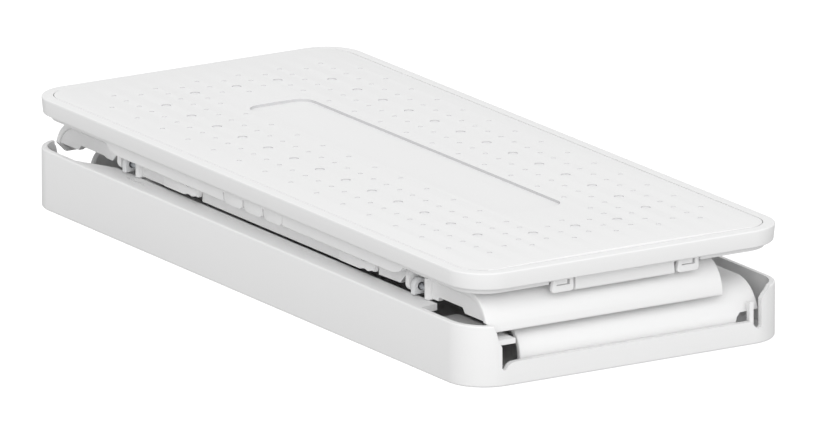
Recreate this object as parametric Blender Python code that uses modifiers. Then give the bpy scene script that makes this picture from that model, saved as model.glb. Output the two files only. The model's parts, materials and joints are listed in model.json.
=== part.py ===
"""Folding lidded tray: a low base, two end-curled side walls folded flat inside it and a lift-off cover.

Units in the constants are millimetres. X runs along the length, Y across it and Z up. The origin is the
centre of the footprint, at the height of the surface that the tray stands on. "Front" is the -Y side.
"""
import math

import bmesh
import bpy
from mathutils import Matrix, Vector

MM = 0.001

# Overall size
LENGTH = 260.0
WIDTH = 115.0
RIM_TOP = 35.6
CORNER = 13.0
CORNER_STEPS = 7
GAP = 0.3

HALF_L = LENGTH / 2
HALF_W = WIDTH / 2
FRONT = -HALF_W

# Base
WALL = 1.8
FLOOR = 2.0
FRONT_TOP = 19.2
REAR_TOP = 17.1
LIP_TOP = 7.3
SLOT_FOOT = 4.9
LEDGE_DEPTH = 8.3
LEDGE_THICK = 2.2
LEDGE_LEFT = (-89.0, 14.0)
LEDGE_RIGHT = (98.0, 1.5)
FOOT_RADIUS = 5.0
FOOT_HEIGHT = 0.6
FOOT_INSET = 18.0

# Folding side walls
SHELL = 2.0
UPPER_TOP = 27.3
UPPER_FOOT = 16.0
UPPER_END = 3.7
UPPER_FROM = 8.3
UPPER_TO = 92.8
LOWER_TOP = 18.0
LOWER_FOOT = 5.5
LOWER_END = 4.0
LOWER_RADIUS = 12.0
LOWER_FROM = 20.3
LOWER_TO = 106.0
WEB = 1.8
WEB_END_FOOT = 19.3
# Lower edge of the upper wall's web, left to right: low in the middle, raised near both ends
WEB_EDGE = [(-112.8, 19.3), (-111.4, 21.0), (-97.4, 21.0), (-96.0, 20.5), (-92.0, 20.5), (-74.0, 19.6),
            (42.0, 19.6), (76.0, 20.4), (81.0, 19.6), (97.6, 19.6), (98.2, 20.9), (111.4, 20.9),
            (112.8, 19.3)]

# Hinges of the side walls
UPPER_HINGES = {"left": -82.0, "right": 86.5}
LOWER_HINGES = {"left": -83.6, "right": 83.6}
UPPER_PIVOT = (FRONT + 9.2, 22.0)
LOWER_PIVOT = (FRONT + 105.0, 12.8)
PIN_RADIUS = 1.0
BORE_RADIUS = 1.3
PIN_LENGTH = 11.0
EAR_THICK = 2.2
UPPER_EAR_RADIUS = 2.5
LOWER_EAR_RADIUS = 2.7
LUG_RADIUS = 2.3
LUG_THICK = 2.2
LUG_GAP = 1.0
WINDOW_ROOM = 1.6
# The upper wall's right-hand lugs are posts on the far side of a wider gap; its windows slope on the left
POST_FROM = 4.8
POST_TO = 7.8
PIN_SHIFT = 0.7
SLOPE_FROM = 10.4
SLOPE_TO = 5.6

# Cover
RIM_FOOT = 30.2
RIM_FACE = 3.7
RIM_SHELF = 9.0
SHELF_TOP = 32.2
PANEL_TOP = 36.3
PANEL_CROWN = 0.7
PANEL_STRIPS = 12
RECESS_LENGTH = 150.6
RECESS_WIDTH = 22.8
RECESS_FLOOR = 35.4
RECESS_CORNER = 5.0
SKIRT_INSET = 3.1
SKIRT_END_INSET = 3.5
SKIRT_THICK = 1.9
SKIRT_TOP = RIM_FOOT - GAP
SKIRT_FOOT = 25.3
SKIRT_END_FOOT = 28.4
# Rounded ends of the deep part of the skirt along the long sides
SKIRT_TURN = [(75.5, 25.3), (80.0, 25.6), (83.5, 26.4), (85.5, 27.4), (86.3, 28.4)]
FLANGE_THICK = 1.5
FLANGE_INSET = 10.0
SLIT_PITCH = 11.6
SLIT_WIDTH = 0.8
HOOK_Y = 22.4
HOOK_WIDTH = 7.7
HOOK_FOOT = 25.4
HOOK_NOTCH = 10.5

# Release latches on the upper wall: free end and root, along X
LATCHES = {"left": (-59.3, -38.4), "right": (43.3, 64.2)}
LATCH_FOOT = 20.2
LATCH_HEIGHT = 3.3
LATCH_THICK = 1.6
LATCH_Y = FRONT + 7.3

TINY = 0.001


def clear_scene():
    for obj in list(bpy.data.objects):
        bpy.data.objects.remove(obj, do_unlink=True)


def new_collection(name):
    made = bpy.data.collections.new(name)
    bpy.context.scene.collection.children.link(made)
    return made


def plastic(name, grey, roughness):
    made = bpy.data.materials.new(name)
    made.use_nodes = True
    shader = made.node_tree.nodes["Principled BSDF"]
    shader.inputs["Base Color"].default_value = (grey, grey, grey, 1.0)
    shader.inputs["Roughness"].default_value = roughness
    shader.inputs["Metallic"].default_value = 0.0
    return made


def steel(name):
    made = plastic(name, 0.6, 0.3)
    made.node_tree.nodes["Principled BSDF"].inputs["Metallic"].default_value = 1.0
    return made


clear_scene()
PARTS = new_collection("folding_tray")
CUTTERS = new_collection("cutters")
HOUSING_WHITE = plastic("housing_white", 0.86, 0.45)
WALL_WHITE = plastic("wall_white", 0.88, 0.5)
LATCH_WHITE = plastic("latch_white", 0.9, 0.45)
HINGE_WHITE = plastic("hinge_white", 0.8, 0.5)
PIN_STEEL = steel("pin_steel")
FOOT_RUBBER = plastic("foot_rubber", 0.35, 0.8)


def place(name, bm, finish=None):
    """Link a mesh as a part with its finish, or as a cutter when it has none."""
    bmesh.ops.scale(bm, vec=(MM, MM, MM), verts=bm.verts)
    mesh = bpy.data.meshes.new(name)
    bm.to_mesh(mesh)
    bm.free()
    made = bpy.data.objects.new(name, mesh)
    if finish is None:
        made.hide_render = True
        made.display_type = "WIRE"
        CUTTERS.objects.link(made)
    else:
        mesh.materials.append(finish)
        PARTS.objects.link(made)
    return made


def block(name, low, high, finish=None, corner=0.0, top_round=0.0, foot_round=0.0):
    """A box between two corners, with upright edges, top edge and foot edge rounded as asked."""
    bm = bmesh.new()
    bmesh.ops.create_cube(bm, size=1.0)
    low = Vector(low)
    high = Vector(high)
    for vert in bm.verts:
        vert.co = Vector(a + (b - a) * (c + 0.5) for a, b, c in zip(low, high, vert.co))
    if corner:
        upright = [e for e in bm.edges if abs(e.verts[0].co.z - e.verts[1].co.z) > TINY]
        bmesh.ops.bevel(bm, geom=upright, offset=corner, segments=CORNER_STEPS, profile=0.5,
                        affect="EDGES")
    for level, radius in ((high.z, top_round), (low.z, foot_round)):
        if radius:
            rim = [e for e in bm.edges if all(abs(v.co.z - level) < TINY for v in e.verts)]
            bmesh.ops.bevel(bm, geom=rim, offset=radius, segments=3, profile=0.5, affect="EDGES")
    return place(name, bm, finish)


def rod(name, centre, radius, length, finish=None, axis="X", sides=24):
    """A cylinder about its centre, along X or Z."""
    bm = bmesh.new()
    turn = Matrix.Rotation(math.pi / 2, 4, "Y") if axis == "X" else Matrix.Identity(4)
    bmesh.ops.create_cone(bm, cap_ends=True, segments=sides, radius1=radius, radius2=radius,
                          depth=length, matrix=Matrix.Translation(centre) @ turn)
    return place(name, bm, finish)


def arc(centre, radius, start, end, steps):
    """Points on an arc, angles in degrees."""
    return [(centre[0] + radius * math.cos(math.radians(start + (end - start) * i / steps)),
             centre[1] + radius * math.sin(math.radians(start + (end - start) * i / steps)))
            for i in range(steps + 1)]


def sheet_outline(name, points, low, high, plane, finish=None):
    """A flat outline filled and thickened between two levels; plane is XY, XZ or YZ."""
    curve = bpy.data.curves.new(name, "CURVE")
    curve.dimensions = "2D"
    curve.fill_mode = "BOTH"
    curve.extrude = (high - low) / 2
    spline = curve.splines.new("POLY")
    spline.points.add(len(points) - 1)
    for spot, (u, v) in zip(spline.points, points):
        spot.co = (u, v, 0.0, 1.0)
    spline.use_cyclic_u = True
    guide = bpy.data.objects.new(name + "_outline", curve)
    CUTTERS.objects.link(guide)
    bpy.context.view_layer.update()
    solid = bpy.data.meshes.new_from_object(guide.evaluated_get(bpy.context.evaluated_depsgraph_get()))
    bpy.data.objects.remove(guide, do_unlink=True)
    bm = bmesh.new()
    bm.from_mesh(solid)
    bmesh.ops.remove_doubles(bm, verts=bm.verts, dist=0.0001)
    middle = (low + high) / 2
    for vert in bm.verts:
        u, v, w = vert.co
        vert.co = {"XY": (u, v, middle + w), "XZ": (u, middle + w, v), "YZ": (middle + w, u, v)}[plane]
    bm.normal_update()
    bmesh.ops.recalc_face_normals(bm, faces=bm.faces)
    if bm.calc_volume(signed=True) < 0:
        bmesh.ops.reverse_faces(bm, faces=bm.faces)
    return place(name, bm, finish)


def boolean(target, tool, operation):
    step = target.modifiers.new(operation.lower() + "_" + tool.name, "BOOLEAN")
    step.operation = operation
    step.object = tool


def cut(target, *tools):
    for tool in tools:
        boolean(target, tool, "DIFFERENCE")


def add(target, *tools):
    for tool in tools:
        boolean(target, tool, "UNION")


def bent_wall(name, half, top, foot, radius, near, far, finish):
    """A flat wall with both ends curled down: an open strip between two Y levels, thickened inwards."""
    left = arc((-half + radius, top - radius), radius, 180, 90, CORNER_STEPS)
    right = arc((half - radius, top - radius), radius, 90, 0, CORNER_STEPS)
    profile = left + right
    if top - radius - foot > TINY:
        profile = [(-half, foot)] + profile + [(half, foot)]
    bm = bmesh.new()
    verts = [bm.verts.new((x, FRONT + near, z)) for x, z in profile]
    edges = [bm.edges.new(pair) for pair in zip(verts, verts[1:])]
    swept = bmesh.ops.extrude_edge_only(bm, edges=edges)["geom"]
    moved = [item for item in swept if isinstance(item, bmesh.types.BMVert)]
    bmesh.ops.translate(bm, vec=(0.0, far - near, 0.0), verts=moved)
    bm.normal_update()
    if max(bm.faces, key=lambda face: face.calc_area()).normal.z < 0:
        bmesh.ops.reverse_faces(bm, faces=bm.faces)
    wall = place(name, bm, finish)
    thicken = wall.modifiers.new("thickness", "SOLIDIFY")
    thicken.thickness = SHELL * MM
    thicken.offset = -1.0
    thicken.use_even_offset = True
    return wall


def arched(pivot, radius, level):
    """Outline of an ear or a lug in the YZ plane: half round about its pivot, straight to a level."""
    up = level > pivot[1]
    start, end = (180, 360) if up else (0, 180)
    return arc(pivot, radius, start, end, 12) + (
        [(pivot[0] + radius, level), (pivot[0] - radius, level)] if up else
        [(pivot[0] - radius, level), (pivot[0] + radius, level)])


def base_shell():
    shell = block("base_shell", (-HALF_L, -HALF_W, 0), (HALF_L, HALF_W, FRONT_TOP), HOUSING_WHITE,
                  CORNER, 0.6, 0.8)
    above = FRONT_TOP + 6
    hollow = block("cut_hollow", (-HALF_L + WALL, -HALF_W + WALL, FLOOR),
                   (HALF_L - WALL, HALF_W - WALL, above), None, CORNER - WALL)
    left, right = LEDGE_LEFT[0] - LEDGE_LEFT[1], LEDGE_RIGHT[0] + LEDGE_RIGHT[1]
    ledge = [(left, FRONT + WALL - 1), (right, FRONT + WALL - 1), (right, FRONT + WALL),
             (LEDGE_RIGHT[0], FRONT + LEDGE_DEPTH), (LEDGE_LEFT[0], FRONT + LEDGE_DEPTH),
             (left, FRONT + WALL)]
    cut(hollow, sheet_outline("keep_ledge", ledge, FRONT_TOP - LEDGE_THICK, above + 1, "XY"))
    rear = block("cut_rear", (-LENGTH, 0, REAR_TOP), (LENGTH, WIDTH, above))
    # The low end lip with a narrow slot beside each corner post, cut through both ends at once
    mouth = [(8.6, above), (9.6, 17.0), (11.0, 13.5), (11.3, SLOT_FOOT + 0.4), (13.2, SLOT_FOOT),
             (14.4, LIP_TOP), (100.8, LIP_TOP), (102.0, SLOT_FOOT), (104.2, SLOT_FOOT + 0.4),
             (104.0, 14.3), (109.0, REAR_TOP), (109.0, above)]
    ends = sheet_outline("cut_ends", [(FRONT + y, z) for y, z in mouth], -LENGTH, LENGTH, "YZ")
    cut(shell, hollow, rear, ends)
    for x, y in foot_places():
        cut(shell, rod("cut_foot", (x, y, 0.0), FOOT_RADIUS + GAP, 2 * (FOOT_HEIGHT + GAP), axis="Z"))
    return shell


def foot_places():
    return [(sx * (HALF_L - FOOT_INSET), sy * (HALF_W - FOOT_INSET)) for sx in (-1, 1) for sy in (-1, 1)]


def feet():
    for number, (x, y) in enumerate(foot_places(), 1):
        rod("foot_pad_%d" % number, (x, y, FOOT_HEIGHT / 2), FOOT_RADIUS, FOOT_HEIGHT, FOOT_RUBBER, "Z")


def hinge(label, places, pivot, ear_radius, ear_foot, shift=0.0):
    """The two ears and the two pins of one side wall, fixed to the base."""
    for side, x in places.items():
        ear = sheet_outline("hinge_ear_%s_%s" % (label, side), arched(pivot, ear_radius, ear_foot),
                            x - EAR_THICK / 2, x + EAR_THICK / 2, "YZ", HINGE_WHITE)
        cut(ear, rod("cut_ear_%s_%s" % (label, side), (x, *pivot), BORE_RADIUS, 3 * EAR_THICK))
        rod("hinge_pin_%s_%s" % (label, side), (x + shift, *pivot), PIN_RADIUS, PIN_LENGTH, PIN_STEEL,
            sides=16)


def upper_hinge_side(wall, plate_under):
    """Windows with a sloping left end, a bored lug in each and a bored post at its right end."""
    pivot = UPPER_PIVOT
    inner = EAR_THICK / 2 + LUG_GAP
    outer = inner + LUG_THICK
    top = plate_under - 0.1
    for x in UPPER_HINGES.values():
        window = [(x - SLOPE_FROM, 15), (x - SLOPE_FROM, 20.5), (x - SLOPE_TO, top),
                  (x + POST_FROM + 0.1, top), (x + POST_FROM + 0.1, 15)]
        cut(wall, sheet_outline("cut_upper_window", window, pivot[0] - 5, pivot[0] + 5, "XZ"))
        for near, far in ((x - outer, x - inner), (x + POST_FROM, x + POST_TO)):
            add(wall, sheet_outline("add_upper_lug", arched(pivot, LUG_RADIUS, plate_under + 1), near, far,
                                    "YZ"))
        start, end = x - outer - WINDOW_ROOM / 2, x + POST_TO - 0.8
        cut(wall, rod("cut_upper_bore", ((start + end) / 2, *pivot), BORE_RADIUS, end - start))


def lower_hinge_side(wall, plate_under):
    """Windows in the web, with two bored lugs hanging in each, one on each side of the ear."""
    pivot = LOWER_PIVOT
    inner = EAR_THICK / 2 + LUG_GAP
    outer = inner + LUG_THICK
    window = outer + WINDOW_ROOM
    for x in LOWER_HINGES.values():
        cut(wall, block("cut_lower_window", (x - window, pivot[0] - 5, pivot[1] - 6),
                        (x + window, pivot[0] + 5, plate_under - 0.1)))
        for sign in (-1, 1):
            near, far = sorted((x + sign * inner, x + sign * outer))
            add(wall, sheet_outline("add_lower_lug", arched(pivot, LUG_RADIUS, plate_under + 1), near, far,
                                    "YZ"))
        cut(wall, rod("cut_lower_bore", (x, *pivot), BORE_RADIUS, 2 * outer + WINDOW_ROOM))


def side_wall_upper():
    half = HALF_L - UPPER_END
    radius = UPPER_TOP - UPPER_FOOT
    wall = bent_wall("side_wall_upper", half, UPPER_TOP, UPPER_FOOT, radius, UPPER_FROM, UPPER_TO,
                     WALL_WHITE)
    under = UPPER_TOP - SHELL
    # Stepped web along the hinge side, its ends following the middle of the curled shell
    middle = radius - SHELL / 2
    low = math.degrees(math.asin((WEB_END_FOOT - UPPER_FOOT) / middle))
    right = arc((half - radius, UPPER_FOOT), middle, low, 90, CORNER_STEPS)
    left = [(-x, z) for x, z in reversed(right)]
    web = right + left + WEB_EDGE
    web_y = FRONT + UPPER_FROM + 0.6
    add(wall, sheet_outline("add_upper_web", web, web_y, web_y + WEB, "XZ"))
    for label, (tip, root) in LATCHES.items():
        cut(wall, block("cut_latch_" + label, (tip - 1, FRONT, 18.0), (root + 1, FRONT + 14, 24.4)))
    for sign in (-1, 1):
        near, far = sorted((sign * 112, sign * HALF_L))
        cut(wall, block("cut_upper_corner", (near, FRONT, 10), (far, FRONT + 13, WEB_END_FOOT)))
    upper_hinge_side(wall, under)


def side_wall_lower():
    half = HALF_L - LOWER_END
    wall = bent_wall("side_wall_lower", half, LOWER_TOP, LOWER_FOOT, LOWER_RADIUS, LOWER_FROM, LOWER_TO,
                     WALL_WHITE)
    under = LOWER_TOP - SHELL
    web_x = half - LOWER_RADIUS
    add(wall, block("add_lower_web", (-web_x, FRONT + LOWER_TO - WEB, 11.0),
                    (web_x, FRONT + LOWER_TO - 0.2, LOWER_TOP - SHELL / 2)))
    for sign in (-1, 1):
        near, far = sorted((sign * 112, sign * HALF_L))
        cut(wall, block("cut_lower_corner", (near, FRONT + 97.5, 3), (far, FRONT + 108, 12)))
    lower_hinge_side(wall, under)


def release_latches():
    """Springy tabs in the upper wall's web, each turning about its root at the right-hand end."""
    top = LATCH_FOOT + LATCH_HEIGHT
    for side, (tip, root) in LATCHES.items():
        outline = [(tip, LATCH_FOOT + 0.4), (tip + 0.5, LATCH_FOOT), (root - 8, LATCH_FOOT),
                   (root - 6, LATCH_FOOT + 0.8), (root - 3, LATCH_FOOT + 0.3), (root, LATCH_FOOT + 0.6),
                   (root, top), (root - 5, top), (root - 8, top - 0.5), (tip + 0.5, top),
                   (tip, top - 0.4)]
        sheet_outline("release_latch_" + side, outline, LATCH_Y, LATCH_Y + LATCH_THICK, "XZ", LATCH_WHITE)


def cover_rim():
    rim = block("cover_rim", (-HALF_L, -HALF_W, RIM_FOOT), (HALF_L, HALF_W, RIM_TOP), HOUSING_WHITE,
                CORNER, 0.5, 0.4)
    rabbet = block("cut_rabbet", (-HALF_L + RIM_FACE, -HALF_W + RIM_FACE, SHELF_TOP),
                   (HALF_L - RIM_FACE, HALF_W - RIM_FACE, RIM_TOP + 5), None, CORNER - RIM_FACE)
    opening = block("cut_opening", (-HALF_L + RIM_SHELF, -HALF_W + RIM_SHELF, RIM_FOOT - 5),
                    (HALF_L - RIM_SHELF, HALF_W - RIM_SHELF, RIM_TOP + 5), None, CORNER - RIM_SHELF)
    cut(rim, rabbet, opening)


def crowned(panel):
    """Bow the top of the panel: highest along its middle line, PANEL_CROWN lower at its long edges."""
    half = (HALF_W - RIM_FACE - GAP) * MM
    bm = bmesh.new()
    bm.from_mesh(panel.data)
    for step in range(1, PANEL_STRIPS):
        level = half * (2 * step / PANEL_STRIPS - 1)
        bmesh.ops.bisect_plane(bm, geom=bm.verts[:] + bm.edges[:] + bm.faces[:],
                               plane_co=(0, level, 0), plane_no=(0, 1, 0))
    for vert in bm.verts:
        if vert.co.z > (SHELF_TOP + GAP + TINY) * MM:
            vert.co.z -= PANEL_CROWN * MM * (vert.co.y / half) ** 2
    bm.to_mesh(panel.data)
    bm.free()


def cover_panel():
    inset = RIM_FACE + GAP
    panel = block("cover_panel", (-HALF_L + inset, -HALF_W + inset, SHELF_TOP + GAP),
                  (HALF_L - inset, HALF_W - inset, PANEL_TOP), HOUSING_WHITE, CORNER - inset, 0.3)
    crowned(panel)
    half_l, half_w = RECESS_LENGTH / 2, RECESS_WIDTH / 2
    cut(panel, block("cut_recess", (-half_l, -half_w, RECESS_FLOOR), (half_l, half_w, RIM_TOP + 5), None,
                     RECESS_CORNER))


def cover_inner_frame():
    """Ring under the rim with a downturned skirt, deeper along the long sides and notched for hooks."""
    outer_x, outer_y = HALF_L - SKIRT_END_INSET, HALF_W - SKIRT_INSET
    frame = block("cover_inner_frame", (-outer_x, -outer_y, SKIRT_FOOT), (outer_x, outer_y, SKIRT_TOP),
                  HOUSING_WHITE, CORNER - SKIRT_INSET)
    inner_x, inner_y = outer_x - SKIRT_THICK, outer_y - SKIRT_THICK
    pan = block("cut_pan", (-inner_x, -inner_y, SKIRT_FOOT - 5), (inner_x, inner_y, SKIRT_TOP - FLANGE_THICK),
                None, CORNER - SKIRT_INSET - SKIRT_THICK)
    well = block("cut_well", (-HALF_L + FLANGE_INSET, -HALF_W + FLANGE_INSET, SKIRT_FOOT - 5),
                 (HALF_L - FLANGE_INSET, HALF_W - FLANGE_INSET, SKIRT_TOP + 5), None, 3.0)
    cut(frame, pan, well)
    for sign in (-1, 1):
        turn = [(sign * x, z) for x, z in SKIRT_TURN]
        turn += [(sign * LENGTH, SKIRT_END_FOOT), (sign * LENGTH, 15), (turn[0][0], 15)]
        for side in (-1, 1):
            near, far = sorted((side * HOOK_Y, side * WIDTH))
            cut(frame, sheet_outline("cut_skirt_end", turn, near, far, "XZ"))
        for y in (-HOOK_Y, HOOK_Y):
            near, far = sorted((sign * inner_x, sign * LENGTH))
            cut(frame, block("cut_hook_notch", (near, y - HOOK_NOTCH / 2, SKIRT_FOOT - 5),
                             (far, y + HOOK_NOTCH / 2, SKIRT_TOP + 5)))
    for step in (-1.5, -0.5, 0.5, 1.5):
        x = step * SLIT_PITCH
        for sign in (-1, 1):
            near, far = sorted((sign * (inner_y - 0.5), sign * WIDTH))
            cut(frame, block("cut_slit", (x - SLIT_WIDTH / 2, near, SKIRT_FOOT - 5),
                             (x + SLIT_WIDTH / 2, far, SKIRT_TOP - FLANGE_THICK)))


def end_hooks():
    outer_x = HALF_L - SKIRT_END_INSET
    number = 0
    for sign in (-1, 1):
        for y in (-HOOK_Y, HOOK_Y):
            number += 1
            near, far = sorted((sign * (outer_x - SKIRT_THICK + GAP), sign * outer_x))
            hook = block("end_hook_%d" % number, (near, y - HOOK_WIDTH / 2, HOOK_FOOT),
                         (far, y + HOOK_WIDTH / 2, SKIRT_TOP - 0.1), LATCH_WHITE)
            cut(hook, block("cut_hook_window", (near - 2, y - 2.4, 27.4), (far + 2, y + 2.4, 28.9)))


base_shell()
feet()
hinge("upper", UPPER_HINGES, UPPER_PIVOT, UPPER_EAR_RADIUS, FRONT_TOP + GAP, PIN_SHIFT)
hinge("lower", LOWER_HINGES, LOWER_PIVOT, LOWER_EAR_RADIUS, FLOOR + GAP)
side_wall_upper()
side_wall_lower()
release_latches()
cover_rim()
cover_panel()
cover_inner_frame()
end_hooks()

for part in PARTS.objects:
    part.data.shade_smooth()
    part.data.set_sharp_from_angle(angle=math.radians(35))
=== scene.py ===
"""Looks of a folding lidded tray: a low white base, two curled side walls folded flat and a dimpled cover."""
import json
import math

import bmesh
import bpy
from mathutils import Matrix, Vector


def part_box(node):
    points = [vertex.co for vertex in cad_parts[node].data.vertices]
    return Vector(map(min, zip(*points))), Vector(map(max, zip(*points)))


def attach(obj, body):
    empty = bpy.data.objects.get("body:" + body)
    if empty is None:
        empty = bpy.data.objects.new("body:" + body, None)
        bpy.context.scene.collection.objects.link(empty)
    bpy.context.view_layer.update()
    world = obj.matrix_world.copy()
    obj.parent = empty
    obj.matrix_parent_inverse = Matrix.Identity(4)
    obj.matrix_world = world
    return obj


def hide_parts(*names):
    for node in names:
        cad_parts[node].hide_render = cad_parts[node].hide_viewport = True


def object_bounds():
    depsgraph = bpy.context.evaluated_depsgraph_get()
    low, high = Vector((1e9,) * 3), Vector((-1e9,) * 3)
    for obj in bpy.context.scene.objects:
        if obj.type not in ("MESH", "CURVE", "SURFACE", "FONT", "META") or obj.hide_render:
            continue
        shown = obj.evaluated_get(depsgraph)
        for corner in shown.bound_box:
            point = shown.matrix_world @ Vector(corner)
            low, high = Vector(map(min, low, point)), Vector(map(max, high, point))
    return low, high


bl_info = {
    "name": "Folding lidded tray",
    "version": (1, 0, 0),
    "blender": (4, 5, 0),
    "location": "View3D > Sidebar > Tray",
    "description": "Builds the visible pieces of a folding tray with a dimpled cover",
    "category": "Add Mesh",
}

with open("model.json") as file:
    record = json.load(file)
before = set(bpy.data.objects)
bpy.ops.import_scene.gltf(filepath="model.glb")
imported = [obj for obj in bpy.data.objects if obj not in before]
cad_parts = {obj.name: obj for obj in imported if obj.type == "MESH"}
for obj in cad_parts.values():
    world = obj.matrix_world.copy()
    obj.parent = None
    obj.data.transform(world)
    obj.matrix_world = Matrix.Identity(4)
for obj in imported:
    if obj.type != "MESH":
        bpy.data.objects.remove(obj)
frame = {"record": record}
CAD_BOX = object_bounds()

MM = 0.001
BASE_LOW, BASE_HIGH = (Vector(corner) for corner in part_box("base_shell"))
RIM_LOW, RIM_HIGH = (Vector(corner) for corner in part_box("cover_rim"))
PANEL_LOW, PANEL_HIGH = (Vector(corner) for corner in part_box("cover_panel"))
SKIRT_LOW, SKIRT_HIGH = (Vector(corner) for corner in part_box("cover_inner_frame"))
UPPER_LOW, UPPER_HIGH = (Vector(corner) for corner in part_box("side_wall_upper"))
LOWER_LOW, LOWER_HIGH = (Vector(corner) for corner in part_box("side_wall_lower"))
FRONT = BASE_LOW.y
FAR = 1.0
FINE = 18
HOUSING_WHITE = "#F1F1F1"
WALL_WHITE = "#F2F2F2"
LATCH_WHITE = "#F6F6F6"
HINGE_WHITE = "#E4E5E6"
PIN_GREY = "#B9BCC0"
PAD_GREY = "#8C8E90"
# Painted shade: this grey on the upright walls of the dimples and the recess stands in for the shade in them;
# the plastic there is white.
DIMPLE_SHADE_GREY = "#CBCBCC"
PAPER_GREY = "#8A8A8A"


def linear(code):
    """An sRGB hex colour as linear RGB."""
    parts = [int(code[i:i + 2], 16) / 255 for i in (1, 3, 5)]
    return tuple(c / 12.92 if c <= 0.04045 else ((c + 0.055) / 1.055) ** 2.4 for c in parts)


# ---------------------------------------------------------------- sizes and colours a user may change

class TraySizes(bpy.types.PropertyGroup):
    corner: bpy.props.FloatProperty(
        name="Corner radius", description="Plan radius of the base and the cover", default=13 * MM,
        unit="LENGTH")
    base_wall: bpy.props.FloatProperty(
        name="Base wall", description="Thickness of the base's upright walls", default=1.8 * MM,
        unit="LENGTH")
    shell: bpy.props.FloatProperty(
        name="Side wall thickness", description="Thickness of the two folding walls", default=2 * MM,
        unit="LENGTH")
    crown: bpy.props.FloatProperty(
        name="Cover crown", description="How far the cover's middle line rises above its long edges",
        default=0.7 * MM, unit="LENGTH")
    dimple_pitch: bpy.props.FloatProperty(
        name="Dimple pitch", description="Spacing of the rows of dimples", default=7.55 * MM,
        unit="LENGTH")
    large_dimple: bpy.props.FloatProperty(
        name="Large dimple", description="Width of a large dimple", default=3.1 * MM, unit="LENGTH")
    small_dimple: bpy.props.FloatProperty(
        name="Small dimple", description="Width of a small dimple", default=1.6 * MM, unit="LENGTH")
    dimple_depth: bpy.props.FloatProperty(
        name="Dimple depth", description="Depth of a large dimple", default=0.36 * MM, unit="LENGTH")
    recess_length: bpy.props.FloatProperty(
        name="Recess length", description="Length of the cover's middle recess", default=150.6 * MM,
        unit="LENGTH")
    recess_width: bpy.props.FloatProperty(
        name="Recess width", description="Width of the cover's middle recess", default=22.8 * MM,
        unit="LENGTH")


class TrayColours(bpy.types.PropertyGroup):
    housing: bpy.props.FloatVectorProperty(
        name="Housing", description="Base and cover plastic", subtype="COLOR",
        default=linear(HOUSING_WHITE))
    wall: bpy.props.FloatVectorProperty(
        name="Side walls", description="Folding wall plastic", subtype="COLOR",
        default=linear(WALL_WHITE))
    # Painted shade: this colour darkens the upright walls of the dimples and the recess in place of the shade
    # that falls in them.
    dimple: bpy.props.FloatVectorProperty(
        name="Dimple walls", description="Greyer skin of the upright walls of the dimples and recess",
        subtype="COLOR", default=linear(DIMPLE_SHADE_GREY))
    latch: bpy.props.FloatVectorProperty(
        name="Latches", description="Latch and hook plastic", subtype="COLOR",
        default=linear(LATCH_WHITE))
    hinge: bpy.props.FloatVectorProperty(
        name="Hinges", description="Hinge ear plastic", subtype="COLOR", default=linear(HINGE_WHITE))
    pin: bpy.props.FloatVectorProperty(
        name="Pins", description="Hinge pin wire", subtype="COLOR", default=linear(PIN_GREY))
    pad: bpy.props.FloatVectorProperty(
        name="Foot pads", description="Foot pad rubber", subtype="COLOR", default=linear(PAD_GREY))


# ---------------------------------------------------------------- materials

def node(tree, kind, settings=None, **inputs):
    """Add a node, set its attributes and its inputs; a tuple (node, socket) makes a link."""
    made = tree.nodes.new(kind)
    for key, value in (settings or {}).items():
        setattr(made, key, value)
    for key, value in inputs.items():
        socket = made.inputs[key.replace("_", " ")]
        if isinstance(value, tuple) and isinstance(value[0], bpy.types.Node):
            tree.links.new(value[0].outputs[value[1]], socket)
        else:
            socket.default_value = value
    return made


def per_metre(size_mm):
    """Texture scale that puts one feature in every size_mm of surface."""
    return 1 / (size_mm * MM)


def moulded_plastic(name, colour, roughness, grain_mm, grain_height_mm, ior=1.49):
    """Injection-moulded ABS from a spark-eroded tool: a fine even grain that spreads highlights.

    The real grain is about 0.05 mm; it is drawn at grain_mm so that it shows at all.
    """
    made = bpy.data.materials.new(name)
    made.use_nodes = True
    tree = made.node_tree
    shader = tree.nodes["Principled BSDF"]
    place = node(tree, "ShaderNodeTexCoord")
    grain = node(tree, "ShaderNodeTexNoise", Vector=(place, "Object"), Scale=per_metre(grain_mm),
                 Detail=3.0, Roughness=0.6)
    flow = node(tree, "ShaderNodeTexNoise", Vector=(place, "Object"), Scale=per_metre(45), Detail=2.0)
    darker = tuple(c * 0.985 for c in colour) + (1.0,)
    tint = node(tree, "ShaderNodeMix", {"data_type": "RGBA"})
    tree.links.new(flow.outputs["Fac"], tint.inputs[0])
    tint.inputs[6].default_value = tuple(colour) + (1.0,)
    tint.inputs[7].default_value = darker
    tree.links.new(tint.outputs[2], shader.inputs["Base Color"])
    gloss = node(tree, "ShaderNodeMapRange", Value=(grain, "Fac"), To_Min=roughness - 0.05,
                 To_Max=roughness + 0.05)
    tree.links.new(gloss.outputs["Result"], shader.inputs["Roughness"])
    relief = node(tree, "ShaderNodeBump", Height=(grain, "Fac"), Strength=0.35,
                  Distance=grain_height_mm * MM)
    tree.links.new(relief.outputs["Normal"], shader.inputs["Normal"])
    shader.inputs["IOR"].default_value = ior
    return made


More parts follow.
